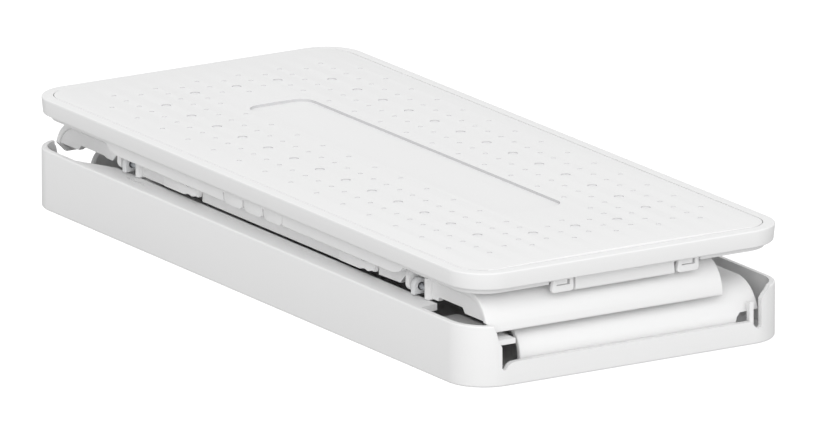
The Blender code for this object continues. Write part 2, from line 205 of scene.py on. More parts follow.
def drawn_wire(name, colour):
    """Drawn steel wire: bright, with fine lines along the pin from the die."""
    made = bpy.data.materials.new(name)
    made.use_nodes = True
    tree = made.node_tree
    shader = tree.nodes["Principled BSDF"]
    shader.inputs["Metallic"].default_value = 1.0
    shader.inputs["Base Color"].default_value = tuple(colour) + (1.0,)
    place = node(tree, "ShaderNodeTexCoord")
    stretch = node(tree, "ShaderNodeMapping", Vector=(place, "Object"), Scale=(0.05, 1.0, 1.0))
    lines = node(tree, "ShaderNodeTexNoise", Vector=(stretch, "Vector"), Scale=per_metre(0.2))
    gloss = node(tree, "ShaderNodeMapRange", Value=(lines, "Fac"), To_Min=0.25, To_Max=0.45)
    tree.links.new(gloss.outputs["Result"], shader.inputs["Roughness"])
    relief = node(tree, "ShaderNodeBump", Height=(lines, "Fac"), Strength=0.2, Distance=0.02 * MM)
    tree.links.new(relief.outputs["Normal"], shader.inputs["Normal"])
    return made


def soft_rubber(name, colour):
    """Grey elastomer pad: dull, with the slightly open skin of cast rubber."""
    made = bpy.data.materials.new(name)
    made.use_nodes = True
    tree = made.node_tree
    shader = tree.nodes["Principled BSDF"]
    shader.inputs["Base Color"].default_value = tuple(colour) + (1.0,)
    place = node(tree, "ShaderNodeTexCoord")
    skin = node(tree, "ShaderNodeTexNoise", Vector=(place, "Object"), Scale=per_metre(0.3), Detail=4.0)
    gloss = node(tree, "ShaderNodeMapRange", Value=(skin, "Fac"), To_Min=0.7, To_Max=0.9)
    tree.links.new(gloss.outputs["Result"], shader.inputs["Roughness"])
    relief = node(tree, "ShaderNodeBump", Height=(skin, "Fac"), Strength=0.4, Distance=0.03 * MM)
    tree.links.new(relief.outputs["Normal"], shader.inputs["Normal"])
    return made


def finish_of(key):
    """The finish of one kind of piece, made the first time it is asked for."""
    name, make = FINISHES[key]
    return bpy.data.materials.get(name) or make(name, tuple(getattr(bpy.context.scene.tray_colours, key)))


FINISHES = {
    "housing": ("moulded_housing_white", lambda name, c: moulded_plastic(name, c, 0.48, 0.5, 0.012)),
    # Painted shade: a greyer copy of the white plastic for the dimple and recess walls, in place of their
    # shade.
    "dimple": ("moulded_dimple_grey", lambda name, c: moulded_plastic(name, c, 0.7, 0.3, 0.02)),
    "wall": ("moulded_wall_white", lambda name, c: moulded_plastic(name, c, 0.5, 0.5, 0.012)),
    "latch": ("moulded_latch_white", lambda name, c: moulded_plastic(name, c, 0.42, 0.4, 0.008)),
    "hinge": ("moulded_hinge_white", lambda name, c: moulded_plastic(name, c, 0.5, 0.4, 0.01)),
    "pin": ("drawn_pin_steel", drawn_wire),
    "pad": ("cast_pad_rubber", soft_rubber),
}


# ---------------------------------------------------------------- mesh work

def sizes():
    return bpy.context.scene.tray_sizes


def arc(centre, radius, start, end, steps=FINE):
    """Points on an arc, angles in degrees."""
    turn = [math.radians(start + (end - start) * i / steps) for i in range(steps + 1)]
    return [(centre[0] + radius * math.cos(t), centre[1] + radius * math.sin(t)) for t in turn]


def as_object(name, bm):
    mesh = bpy.data.meshes.new(name)
    bm.to_mesh(mesh)
    bm.free()
    made = bpy.data.objects.new(name, mesh)
    bpy.context.scene.collection.objects.link(made)
    return made


def block(low, high, corner=0.0, top_round=0.0, foot_round=0.0, steps=FINE):
    """A box between two corners, with upright edges, top edge and foot edge rounded as asked."""
    bm = bmesh.new()
    bmesh.ops.create_cube(bm, size=1.0)
    for vert in bm.verts:
        vert.co = Vector(a + (b - a) * (c + 0.5) for a, b, c in zip(low, high, vert.co))
    if corner:
        upright = [e for e in bm.edges if abs(e.verts[0].co.z - e.verts[1].co.z) > 1e-6]
        bmesh.ops.bevel(bm, geom=upright, offset=corner, segments=steps, profile=0.5, affect="EDGES")
    for level, radius in ((high[2], top_round), (low[2], foot_round)):
        if radius:
            rim = [e for e in bm.edges if all(abs(v.co.z - level) < 1e-6 for v in e.verts)]
            bmesh.ops.bevel(bm, geom=rim, offset=radius, segments=5, profile=0.5, affect="EDGES")
    return bm


def outline(points, low, high, plane, edge_round=0.0):
    """A flat outline made solid between two levels; plane is XY, XZ or YZ."""
    spot = {"XY": lambda u, v: (u, v, low), "XZ": lambda u, v: (u, low, v), "YZ": lambda u, v: (low, u, v)}
    along = {"XY": (0, 0, high - low), "XZ": (0, high - low, 0), "YZ": (high - low, 0, 0)}
    bm = bmesh.new()
    face = bm.faces.new([bm.verts.new(spot[plane](u, v)) for u, v in points])
    grown = bmesh.ops.extrude_face_region(bm, geom=[face])["geom"]
    bmesh.ops.translate(bm, vec=along[plane], verts=[g for g in grown if isinstance(g, bmesh.types.BMVert)])
    point_outwards(bm)
    if edge_round:
        rims = [e for e in bm.edges if len({len(f.verts) for f in e.link_faces}) > 1]
        bmesh.ops.bevel(bm, geom=rims, offset=edge_round, segments=2, profile=0.5, affect="EDGES",
                        clamp_overlap=True)
    return bm


def point_outwards(bm):
    bm.normal_update()
    bmesh.ops.recalc_face_normals(bm, faces=bm.faces)
    if bm.calc_volume(signed=True) < 0:
        bmesh.ops.reverse_faces(bm, faces=bm.faces)


def rod(centre, radius, length, axis="X", sides=32):
    turn = Matrix.Rotation(math.pi / 2, 4, "Y") if axis == "X" else Matrix.Identity(4)
    bm = bmesh.new()
    bmesh.ops.create_cone(bm, cap_ends=True, segments=sides, radius1=radius, radius2=radius,
                          depth=length, matrix=Matrix.Translation(centre) @ turn)
    return bm


def settle(piece):
    """Replace a piece's mesh by what its modifiers make, and drop them."""
    graph = bpy.context.evaluated_depsgraph_get()
    piece.data = bpy.data.meshes.new_from_object(piece.evaluated_get(graph))
    piece.modifiers.clear()


def shape(piece, tool, operation="DIFFERENCE"):
    """Cut a tool mesh out of a piece, or join it on with UNION."""
    helper = as_object("tool", tool) if isinstance(tool, bmesh.types.BMesh) else tool
    step = piece.modifiers.new("shape", "BOOLEAN")
    step.operation = operation
    step.object = helper
    settle(piece)
    bpy.data.objects.remove(helper, do_unlink=True)


def finished(piece, key, body, slot, *replaced):
    """Smooth a piece, give it its finish and tie it to the frame."""
    piece.data.materials.clear()
    piece.data.materials.append(finish_of(key))
    for face in piece.data.polygons:
        face.material_index = 0
    piece.data.shade_smooth()
    piece.data.set_sharp_from_angle(angle=math.radians(32))
    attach(piece, body)
    if replaced:
        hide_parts(*replaced)


def paint_shade_faces(piece, key, wanted):
    """Give the faces that pass the test a second material; here it carries painted shade."""
    piece.data.materials.append(finish_of(key))
    for face in piece.data.polygons:
        if wanted(face):
            face.material_index = 1


def bent_wall(name, low, high, radius, thickness, edge_round):
    """A flat wall with both ends curled down, as an even shell with softened edges."""
    right = arc((high.x - radius, high.z - radius), radius, 90, 0)
    left = [(-x, z) for x, z in reversed(right)]
    profile = left + right
    if high.z - radius - low.z > 1e-6:
        profile = [(low.x, low.z)] + profile + [(high.x, low.z)]
    bm = bmesh.new()
    verts = [bm.verts.new((x, low.y, z)) for x, z in profile]
    edges = [bm.edges.new(pair) for pair in zip(verts, verts[1:])]
    swept = bmesh.ops.extrude_edge_only(bm, edges=edges)["geom"]
    moved = [g for g in swept if isinstance(g, bmesh.types.BMVert)]
    bmesh.ops.translate(bm, vec=(0, high.y - low.y, 0), verts=moved)
    bm.normal_update()
    if max(bm.faces, key=lambda f: f.calc_area()).normal.z < 0:
        bmesh.ops.reverse_faces(bm, faces=bm.faces)
    wall = as_object(name, bm)
    thicken = wall.modifiers.new("thickness", "SOLIDIFY")
    thicken.thickness = thickness
    thicken.offset = -1.0
    thicken.use_even_offset = True
    soften = wall.modifiers.new("edges", "BEVEL")
    soften.width = edge_round
    soften.segments = 3
    soften.limit_method = "ANGLE"
    soften.angle_limit = math.radians(60)
    settle(wall)
    return wall


def group_tree(name, inputs):
    """A Geometry Nodes tree with its named inputs; returns the tree, its input and its output node."""
    tree = bpy.data.node_groups.new(name, "GeometryNodeTree")
    tree.interface.new_socket("Geometry", in_out="INPUT", socket_type="NodeSocketGeometry")
    for label, kind, default in inputs:
        socket = tree.interface.new_socket(label, in_out="INPUT", socket_type=kind)
        if default is not None:
            socket.default_value = default
    tree.interface.new_socket("Geometry", in_out="OUTPUT", socket_type="NodeSocketGeometry")
    return tree, tree.nodes.new("NodeGroupInput"), tree.nodes.new("NodeGroupOutput")


def run_tree(piece, tree, values):
    """Run a tree on a piece with values for its named inputs, and keep the plain mesh."""
    step = piece.modifiers.new(tree.name, "NODES")
    step.node_group = tree
    for item in tree.interface.items_tree:
        if item.in_out == "INPUT" and item.name in values:
            step[item.identifier] = values[item.name]
    settle(piece)


def dimple_tree():
    """On every point of the input mesh, a flat round plug as wide as the point's width attribute says."""
    tree, into, out = group_tree("dimple_plugs", [("Depth share", "NodeSocketFloat", 0.2),
                                                   ("Finish", "NodeSocketMaterial", None)])
    width = node(tree, "GeometryNodeInputNamedAttribute", {"data_type": "FLOAT"}, Name="width")
    depth = node(tree, "ShaderNodeMath", {"operation": "MULTIPLY"})
    tree.links.new(width.outputs["Attribute"], depth.inputs[0])
    tree.links.new(into.outputs["Depth share"], depth.inputs[1])
    stretch = node(tree, "ShaderNodeCombineXYZ", X=(width, "Attribute"), Y=(width, "Attribute"),
                   Z=(depth, "Value"))
    plug = node(tree, "GeometryNodeMeshCylinder", Vertices=20, Radius=0.5, Depth=1.0)
    points = node(tree, "GeometryNodeMeshToPoints", Mesh=(into, "Geometry"))
    spread = node(tree, "GeometryNodeInstanceOnPoints", Points=(points, "Points"), Instance=(plug, "Mesh"),
                  Scale=(stretch, "Vector"))
    real = node(tree, "GeometryNodeRealizeInstances", Geometry=(spread, "Instances"))
    dressed = node(tree, "GeometryNodeSetMaterial", Geometry=(real, "Geometry"), Material=(into, "Finish"))
    tree.links.new(dressed.outputs["Geometry"], out.inputs["Geometry"])
    return tree


def grid_tree():
    """Copies of the input mesh on a grid of points in X and Y, centred on the origin."""
    tree, into, out = group_tree("grid_of_copies", [
        ("Length", "NodeSocketFloat", 0.1), ("Width", "NodeSocketFloat", 0.1),
        ("Along", "NodeSocketInt", 2), ("Across", "NodeSocketInt", 2),
        ("Finish", "NodeSocketMaterial", None)])
    spots = node(tree, "GeometryNodeMeshGrid", Size_X=(into, "Length"), Size_Y=(into, "Width"),
                 Vertices_X=(into, "Along"), Vertices_Y=(into, "Across"))
    spread = node(tree, "GeometryNodeInstanceOnPoints", Points=(spots, "Mesh"), Instance=(into, "Geometry"))
    real = node(tree, "GeometryNodeRealizeInstances", Geometry=(spread, "Instances"))
    dressed = node(tree, "GeometryNodeSetMaterial", Geometry=(real, "Geometry"), Material=(into, "Finish"))
    tree.links.new(dressed.outputs["Geometry"], out.inputs["Geometry"])
    return tree


# ---------------------------------------------------------------- base

LEDGE_DEPTH = 8.3 * MM
LEDGE_THICK = 2.2 * MM
LEDGE_LEFT = (-103 * MM, -89 * MM)
LEDGE_RIGHT = (99.5 * MM, 98 * MM)
REAR_DROP = 2.1 * MM
FLOOR_THICK = 2 * MM
SLOT_LOW, SLOT_HIGH = (-77 * MM, FRONT + 4.6 * MM, 10 * MM), (-66.5 * MM, FRONT + 5.1 * MM, FAR)
SHELF_FOOT, SHELF_HEAD = 12.6 * MM, 14.2 * MM
SHELF_BACK = FRONT + 16.9 * MM
BITE = 0.4 * MM  # how far a piece joined to a wall runs into it


def base_mouth():
    """Outline of the low end, in Y and Z: corner posts, a narrow slot beside each and the lip between."""
    above = BASE_HIGH.z + 6 * MM
    left = [(8.6, 25.2), (8.9, 18.2), (9.6, 17.0), (10.2, 14.4), (11.4, 12.2), (11.4, 6.2)]
    left_foot = arc((12.2, 5.9), 0.8, 180, 270, 5)
    right = [(102.0, 5.4), (102.6, 4.9), (104.0, 4.9), (104.4, 5.6), (104.3, 14.0), (105.2, 15.0)]
    points = left + left_foot + [(12.9, 5.2), (13.6, 6.4), (14.8, 7.1), (16.2, 7.3)]
    points += [(99.8, 7.3), (101.0, 6.9)] + right + [(108.4, 17.2), (108.8, 25.2)]
    return [(FRONT + u * MM, min(v * MM, above)) for u, v in points]


class TRAY_OT_base(bpy.types.Operator):
    """Base: a shallow tray with low end lips, a ledge along the front and a lower rear wall"""
    bl_idname = "tray.base"
    bl_label = "Base"

    def execute(self, context):
        size = sizes()
        bm = block(BASE_LOW, BASE_HIGH, size.corner, 0.5 * MM, 0.7 * MM)
        width = BASE_HIGH.y - BASE_LOW.y
        for vert in bm.verts:
            if vert.co.z > BASE_HIGH.z / 2:
                vert.co.z -= REAR_DROP * (vert.co.y - BASE_LOW.y) / width
        base = as_object("tray_base", bm)
        inset = Vector((size.base_wall, size.base_wall, 0))
        above = Vector((0, 0, 6 * MM))
        hollow = as_object("hollow", block(BASE_LOW + inset + Vector((0, 0, FLOOR_THICK)),
                                           BASE_HIGH - inset + above, size.corner - size.base_wall))
        edge = FRONT + size.base_wall
        ledge = [(LEDGE_LEFT[0], edge - 1 * MM), (LEDGE_RIGHT[0], edge - 1 * MM), (LEDGE_RIGHT[0], edge),
                 (LEDGE_RIGHT[1], FRONT + LEDGE_DEPTH), (LEDGE_LEFT[1], FRONT + LEDGE_DEPTH),
                 (LEDGE_LEFT[0], edge)]
        shape(hollow, outline(ledge, BASE_HIGH.z - LEDGE_THICK, BASE_HIGH.z + 8 * MM, "XY"))
        shape(base, hollow)
        shape(base, outline(base_mouth(), -FAR, FAR, "YZ"))
        shape(base, block(SLOT_LOW, SLOT_HIGH))
        self.shelf(base)
        self.guides(base)
        self.pockets(base)
        finished(base, "housing", "base", "housing", "base_shell")
        return {"FINISHED"}

    def shelf(self, base):
        """A low shelf in the front corner at the right end, beyond the ledge and round the corner."""
        size = sizes()
        wall = size.base_wall - BITE
        turn = (BASE_HIGH.x - size.corner, FRONT + size.corner)
        start = LEDGE_RIGHT[1] - 1.5 * MM
        points = [(start, FRONT + wall)] + arc(turn, size.corner - wall, 270, 360)
        points += [(BASE_HIGH.x - wall, SHELF_BACK), (start, SHELF_BACK)]
        shape(base, outline(points, SHELF_FOOT, SHELF_HEAD, "XY"), "UNION")

    def guides(self, base):
        """Small guides behind both ends, which the slots beside the posts show."""
        end = BASE_HIGH.x - sizes().base_wall + BITE
        for sign in (-1, 1):
            near, far = sorted((sign * (end - 1.7 * MM), sign * end))
            guide = block((near, FRONT + 100.8 * MM, 1.5 * MM), (far, FRONT + 102.2 * MM, 13 * MM))
            shape(base, guide, "UNION")

    def pockets(self, base):
        for number in (1, 2, 3, 4):
            low, high = (Vector(c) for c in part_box("foot_pad_%d" % number))
            middle = (low + high) / 2
            shape(base, rod((middle.x, middle.y, 0), (high.x - low.x) / 2 + 0.3 * MM, 1.8 * MM, "Z", 48))


# ---------------------------------------------------------------- side walls

LUG_GAP = 1.0 * MM
LUG_THICK = 2.2 * MM
LUG_RADIUS = 2.3 * MM
BORE = 1.3 * MM
WINDOW_ROOM = 1.6 * MM
POST_FROM = 4.8 * MM
POST_RADIUS = 1.5 * MM
POST_FOOT = 19.8 * MM
UPPER_CURL, LOWER_CURL = 11.3 * MM, 12 * MM
UPPER_FRONT = FRONT + 8.3 * MM
LOWER_BACK = FRONT + 106 * MM
WALL_EDGE = 0.45 * MM
TIPS_FROM = 112 * MM  # the walls' corners are cut away beyond this, to both sides
LATCH_ROOM = 1 * MM
ROOT_BITE = 0.5 * MM  # length of a latch's root that bears on the wall, in place of a moulded spring


def joint_at(name):
    """A joint's place in the YZ plane."""
    found = next(j for j in frame["record"]["behaviour"]["joints"] if j["name"] == name)
    return found["pos_m"][1], found["pos_m"][2]


def arched(pivot, radius, level):
    """Half round about a pivot, straight on to a level above or below it, in Y and Z."""
    if level > pivot[1]:
        return arc(pivot, radius, 180, 360) + [(pivot[0] + radius, level), (pivot[0] - radius, level)]
    return arc(pivot, radius, 0, 180) + [(pivot[0] - radius, level), (pivot[0] + radius, level)]


def ear_places(label):
    """Middle and half thickness in X of the two ears of one side wall."""
    for side in ("left", "right"):
        low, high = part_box("hinge_ear_%s_%s" % (label, side))
        yield side, (low[0] + high[0]) / 2, (high[0] - low[0]) / 2


def lug(wall, pivot, near, far, under):
    shape(wall, outline(arched(pivot, LUG_RADIUS, under + 1 * MM), near, far, "YZ"), "UNION")


# Lower edge of the upper wall's web from left to right, in mm: low in the middle, raised near both ends
WEB_EDGE = [(-112.8, 19.3), (-111.4, 21), (-97.4, 21), (-96, 20.5), (-92, 20.5), (-74, 19.6), (42, 19.6),
            (76, 20.4), (81, 19.6), (97.6, 19.6), (98.2, 20.9), (111.4, 20.9), (112.8, 19.3)]


class TRAY_OT_upper_wall(bpy.types.Operator):
    """Upper side wall: the curled shell with its stepped web, latch windows and hinge lugs"""
    bl_idname = "tray.upper_wall"
    bl_label = "Upper side wall"

    def execute(self, context):
        size = sizes()
        pivot = joint_at("upper_wall_hinge")
        foot = UPPER_HIGH.z - UPPER_CURL
        low = Vector((UPPER_LOW.x, UPPER_FRONT, foot))
        wall = bent_wall("upper_wall_shell", low, UPPER_HIGH, UPPER_CURL, size.shell, WALL_EDGE)
        middle = UPPER_CURL - size.shell / 2
        start = math.degrees(math.asin(3.3 * MM / middle))
        right = arc((UPPER_HIGH.x - UPPER_CURL, foot), middle, start, 90)
        web = right + [(-x, z) for x, z in reversed(right)] + [(x * MM, z * MM) for x, z in WEB_EDGE]
        shape(wall, outline(web, UPPER_FRONT + 0.6 * MM, UPPER_FRONT + 2.4 * MM, "XZ"), "UNION")
        for side in ("left", "right"):
            tab_low, tab_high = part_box("release_latch_" + side)
            shape(wall, block((tab_low[0] - LATCH_ROOM, FRONT, 18 * MM),
                              (tab_high[0] - ROOT_BITE, FRONT + 14 * MM, 24.2 * MM)))
        for sign in (-1, 1):
            near, far = sorted((sign * TIPS_FROM, sign * UPPER_HIGH.x * 1.02))
            corner = [(0, 10), (11.6, 10), (11.6, 15.9), (10.6, 17), (8.2, 19.3), (0, 19.3)]
            shape(wall, outline([(FRONT + u * MM, v * MM) for u, v in corner], near, far, "YZ"))
        for _, x, half in ear_places("upper"):
            self.hinge(wall, pivot, x, half, UPPER_HIGH.z - size.shell)
        finished(wall, "wall", "upper_wall", "walls", "side_wall_upper")
        return {"FINISHED"}

    def hinge(self, wall, pivot, x, half, under):
        """A window with a sloping left end, a bored lug in it and a round post with a bore beyond it."""
        top = under - 0.1 * MM
        post = x + POST_FROM
        window = [(x - 10.4 * MM, 15 * MM), (x - 10.4 * MM, 20.5 * MM), (x - 5.6 * MM, top),
                  (post + 0.1 * MM, top), (post + 0.1 * MM, 15 * MM)]
        shape(wall, outline(window, pivot[0] - 5 * MM, pivot[0] + 5 * MM, "XZ"))
        inner = half + LUG_GAP
        lug(wall, pivot, x - inner - LUG_THICK, x - inner, under)
        column = (post + POST_RADIUS, pivot[0] - 0.4 * MM, (POST_FOOT + under) / 2)
        shape(wall, rod(column, POST_RADIUS, under - POST_FOOT + 1 * MM, "Z"), "UNION")
        start, end = x - inner - LUG_THICK - 0.8 * MM, post + 2 * POST_RADIUS - 0.8 * MM
        shape(wall, rod(((start + end) / 2, *pivot), BORE, end - start))


class TRAY_OT_lower_wall(bpy.types.Operator):
    """Lower side wall: the curled shell that lies under the upper one, hinged along the rear"""
    bl_idname = "tray.lower_wall"
    bl_label = "Lower side wall"

    def execute(self, context):
        size = sizes()
        pivot = joint_at("lower_wall_hinge")
        high = Vector((LOWER_HIGH.x, LOWER_BACK, LOWER_HIGH.z))
        wall = bent_wall("lower_wall_shell", LOWER_LOW, high, LOWER_CURL, size.shell, WALL_EDGE)
        web_x = high.x - LOWER_CURL
        shape(wall, block((-web_x, high.y - 1.8 * MM, 11 * MM),
                          (web_x, high.y - 0.2 * MM, high.z - size.shell / 2)), "UNION")
        for sign in (-1, 1):
            near, far = sorted((sign * TIPS_FROM, sign * high.x * 1.02))
            corner = [(96.2, 3), (98.0, 8.2), (99.2, 9.4), (108, 9.8), (108, 3)]
            shape(wall, outline([(FRONT + u * MM, v * MM) for u, v in corner], near, far, "YZ"))
        under = high.z - size.shell
        for _, x, half in ear_places("lower"):
            inner = half + LUG_GAP
            outer = inner + LUG_THICK
            room = outer + WINDOW_ROOM
            shape(wall, block((x - room, pivot[0] - 5 * MM, pivot[1] - 6 * MM),
                              (x + room, pivot[0] + 5 * MM, under - 0.1 * MM)))
            lug(wall, pivot, x - outer, x - inner, under)
            lug(wall, pivot, x + inner, x + outer, under)
            shape(wall, rod((x, *pivot), BORE, 2 * outer + WINDOW_ROOM))
        finished(wall, "wall", "lower_wall", "walls", "side_wall_lower")
        return {"FINISHED"}


class TRAY_OT_hinges(bpy.types.Operator):
    """Hinge ears on the base, and the pins through them"""
    bl_idname = "tray.hinges"
    bl_label = "Hinge ears and pins"

    def execute(self, context):
        for label in ("upper", "lower"):
            pivot = joint_at(label + "_wall_hinge")
            for side, x, half in ear_places(label):
                node_name = "hinge_ear_%s_%s" % (label, side)
                low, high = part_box(node_name)
                ear = as_object("ear_%s_%s" % (label, side), outline(
                    arched(pivot, high[2] - pivot[1], low[2]), x - half, x + half, "YZ", 0.25 * MM))
                shape(ear, rod((x, *pivot), BORE, 6 * half))
                finished(ear, "hinge", "base", "hinges", node_name)
                self.pin(label, side, pivot)
        return {"FINISHED"}

    def pin(self, label, side, pivot):
        """A length of wire with chamfered ends."""
        node_name = "hinge_pin_%s_%s" % (label, side)
        low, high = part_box(node_name)
        bm = rod(((low[0] + high[0]) / 2, *pivot), (high[2] - low[2]) / 2, high[0] - low[0])
        ends = [e for e in bm.edges if abs(e.verts[0].co.x - e.verts[1].co.x) < 1e-6]
        bmesh.ops.bevel(bm, geom=ends, offset=0.25 * MM, segments=1, profile=0.5, affect="EDGES")
        pin = as_object("pin_%s_%s" % (label, side), bm)
        finished(pin, "pin", "base", "pins", node_name)


class TRAY_OT_latches(bpy.types.Operator):
    """Release latches: springy tabs with a waved root"""
    bl_idname = "tray.latches"
    bl_label = "Release latches"

    def execute(self, context):
        for side in ("left", "right"):
            node_name = "release_latch_" + side
            low, high = (Vector(c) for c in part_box(node_name))
            tip, root = low.x, high.x
            nose = arc((tip + 0.6 * MM, low.z + 0.6 * MM), 0.6 * MM, 180, 270, 6)
            wave = [(root - 9 * MM + i * 0.75 * MM,
                     low.z + 0.45 * MM * (1 - math.cos(i * math.pi / 3.2)) / 2 + 0.05 * i * MM)
                    for i in range(12)]
            crest = [(root, high.z), (root - 5 * MM, high.z), (root - 7 * MM, high.z - 0.35 * MM),
                     (root - 8.5 * MM, high.z - 0.1 * MM), (root - 9.5 * MM, high.z)]
            cheek = arc((tip + 0.6 * MM, high.z - 0.6 * MM), 0.6 * MM, 90, 180, 6)
            tab = as_object("latch_tab_" + side, outline(nose + wave + crest + cheek, low.y, high.y, "XZ",
                                                         0.2 * MM))
            finished(tab, "latch", "latch_" + side, "latches", node_name)
        return {"FINISHED"}


# ---------------------------------------------------------------- cover

RIM_FACE = 3.7 * MM
RIM_SHELF = 9 * MM
SHELF_TOP = 32.2 * MM
SEAM = 0.35 * MM
RIM_DRAFT = 0.4 * MM
RECESS_FLOOR = 35.4 * MM
CROWN_STRIPS = 40


class TRAY_OT_cover_rim(bpy.types.Operator):
    """Cover rim: the rounded frame that the panel is let into"""
    bl_idname = "tray.cover_rim"
    bl_label = "Cover rim"

    def execute(self, context):
        corner = sizes().corner
        frame_block = block(RIM_LOW, RIM_HIGH, corner, 0.5 * MM, 0.45 * MM)
        for vert in frame_block.verts:
            drop = (RIM_HIGH.z - vert.co.z) / (RIM_HIGH.z - RIM_LOW.z)
            vert.co.x -= math.copysign(RIM_DRAFT * drop, vert.co.x)
            vert.co.y -= math.copysign(RIM_DRAFT * drop, vert.co.y)
        rim = as_object("cover_frame", frame_block)
        face = Vector((RIM_FACE, RIM_FACE, 0))
        top = Vector((RIM_HIGH.x, RIM_HIGH.y, FAR))
        shape(rim, block(Vector((RIM_LOW.x, RIM_LOW.y, SHELF_TOP)) + face, top - face, corner - RIM_FACE))
        shelf = Vector((RIM_SHELF, RIM_SHELF, 0))
        shape(rim, block(Vector((RIM_LOW.x, RIM_LOW.y, 0)) + shelf, top - shelf, corner - RIM_SHELF))
        finished(rim, "housing", "cover", "housing", "cover_rim")
        return {"FINISHED"}


class TRAY_OT_cover_panel(bpy.types.Operator):
    """Cover panel: the crowned plate with its recess and its field of dimples"""
    bl_idname = "tray.cover_panel"
    bl_label = "Dimpled cover panel"

    def height(self, y):
        """Top of the crowned panel at a distance y from its middle line."""
        half = PANEL_HIGH.y
        return PANEL_HIGH.z - sizes().crown * (y / half) ** 2

    def execute(self, context):
        size = sizes()
        plate = block(PANEL_LOW, PANEL_HIGH, size.corner - RIM_FACE - SEAM, 0.15 * MM)
        for i in range(1, CROWN_STRIPS):
            y = PANEL_LOW.y + (PANEL_HIGH.y - PANEL_LOW.y) * i / CROWN_STRIPS
            every = plate.verts[:] + plate.edges[:] + plate.faces[:]
            bmesh.ops.bisect_plane(plate, geom=every, plane_co=(0, y, 0), plane_no=(0, 1, 0))
        middle = (PANEL_LOW.z + PANEL_HIGH.z) / 2
        for vert in plate.verts:
            if vert.co.z > middle:
                vert.co.z -= PANEL_HIGH.z - self.height(vert.co.y)
        panel = as_object("cover_plate", plate)
        half_l, half_w = size.recess_length / 2, size.recess_width / 2
        shape(panel, block((-half_l, -half_w, RECESS_FLOOR), (half_l, half_w, FAR), 5 * MM))
        shape(panel, self.dimples())
        finished(panel, "housing", "cover", "housing", "cover_panel")
        edge = Vector((PANEL_HIGH.x - 1 * MM, PANEL_HIGH.y - 1 * MM))
        # The dimples are too shallow to show at this size, so their upright walls, and the recess's, are
        # drawn greyer than the plastic is: painted shade, standing in for the shade in the dimples and along
        # the recess. It is the same on every side and depends on no view.
        paint_shade_faces(panel, "dimple", lambda face: abs(face.normal.z) < 0.5 and face.center.z > middle
                      and abs(face.center.x) < edge.x and abs(face.center.y) < edge.y)
        return {"FINISHED"}

    def dimple_places(self):
        """Rows one pitch apart: a dimple every pitch in odd rows, every second pitch in even rows.

        The large ones make a ring round the recess, two pitches apart. The recess and its edge stay clear.
        """
        size = sizes()
        pitch = size.dimple_pitch
        clear_x = size.recess_length / 2 + 3 * MM
        for row in range(-6, 7):
            y = row * pitch
            if row % 2:
                spots = [(k + 0.5) * pitch for k in range(-15, 15)]
            elif abs(row) == 4:
                spots = [2 * k * pitch for k in range(-7, 8)]
            else:
                spots = [(2 * k + 1) * pitch for k in range(-7, 7)]
                if row in (-2, 0, 2):
                    spots += [side * 2 * k * pitch for side in (-1, 1) for k in (6, 7)]
            for x in spots:
                if abs(row) < 2 and abs(x) < clear_x + 1.5 * pitch:
                    continue
                in_row = abs(row) == 4 and abs(x) < 13 * pitch
                in_column = row in (-2, 0, 2) and abs(abs(x) - 13 * pitch) < pitch / 4
                yield x, y, size.large_dimple if in_row or in_column else size.small_dimple

    def dimples(self):
        """One mesh of plugs, to be cut from the panel."""
        places = list(self.dimple_places())
        mesh = bpy.data.meshes.new("dimples")
        mesh.from_pydata([(x, y, self.height(y)) for x, y, width in places], [], [])
        widths = mesh.attributes.new("width", "FLOAT", "POINT")
        for item, (x, y, width) in zip(widths.data, places):
            item.value = width
        plugs = bpy.data.objects.new("dimples", mesh)
        bpy.context.scene.collection.objects.link(plugs)
        size = sizes()
        run_tree(plugs, dimple_tree(), {"Depth share": 2 * size.dimple_depth / size.large_dimple,
                                       "Finish": finish_of("housing")})
        return plugs


SKIRT_THICK = 1.9 * MM
FLANGE_THICK = 1.5 * MM
SLIT_PITCH = 11.6 * MM
SLIT_WIDTH = 0.9 * MM
HOOK_Y = 22.4 * MM
HOOK_NOTCH = 10.5 * MM
SHORT_SKIRT = 28.4 * MM
TURN_END, TURN_LENGTH = 86.3 * MM, 10.8 * MM  # where the deep skirt's rounded ends reach the short skirt
TURN_STEPS = 10


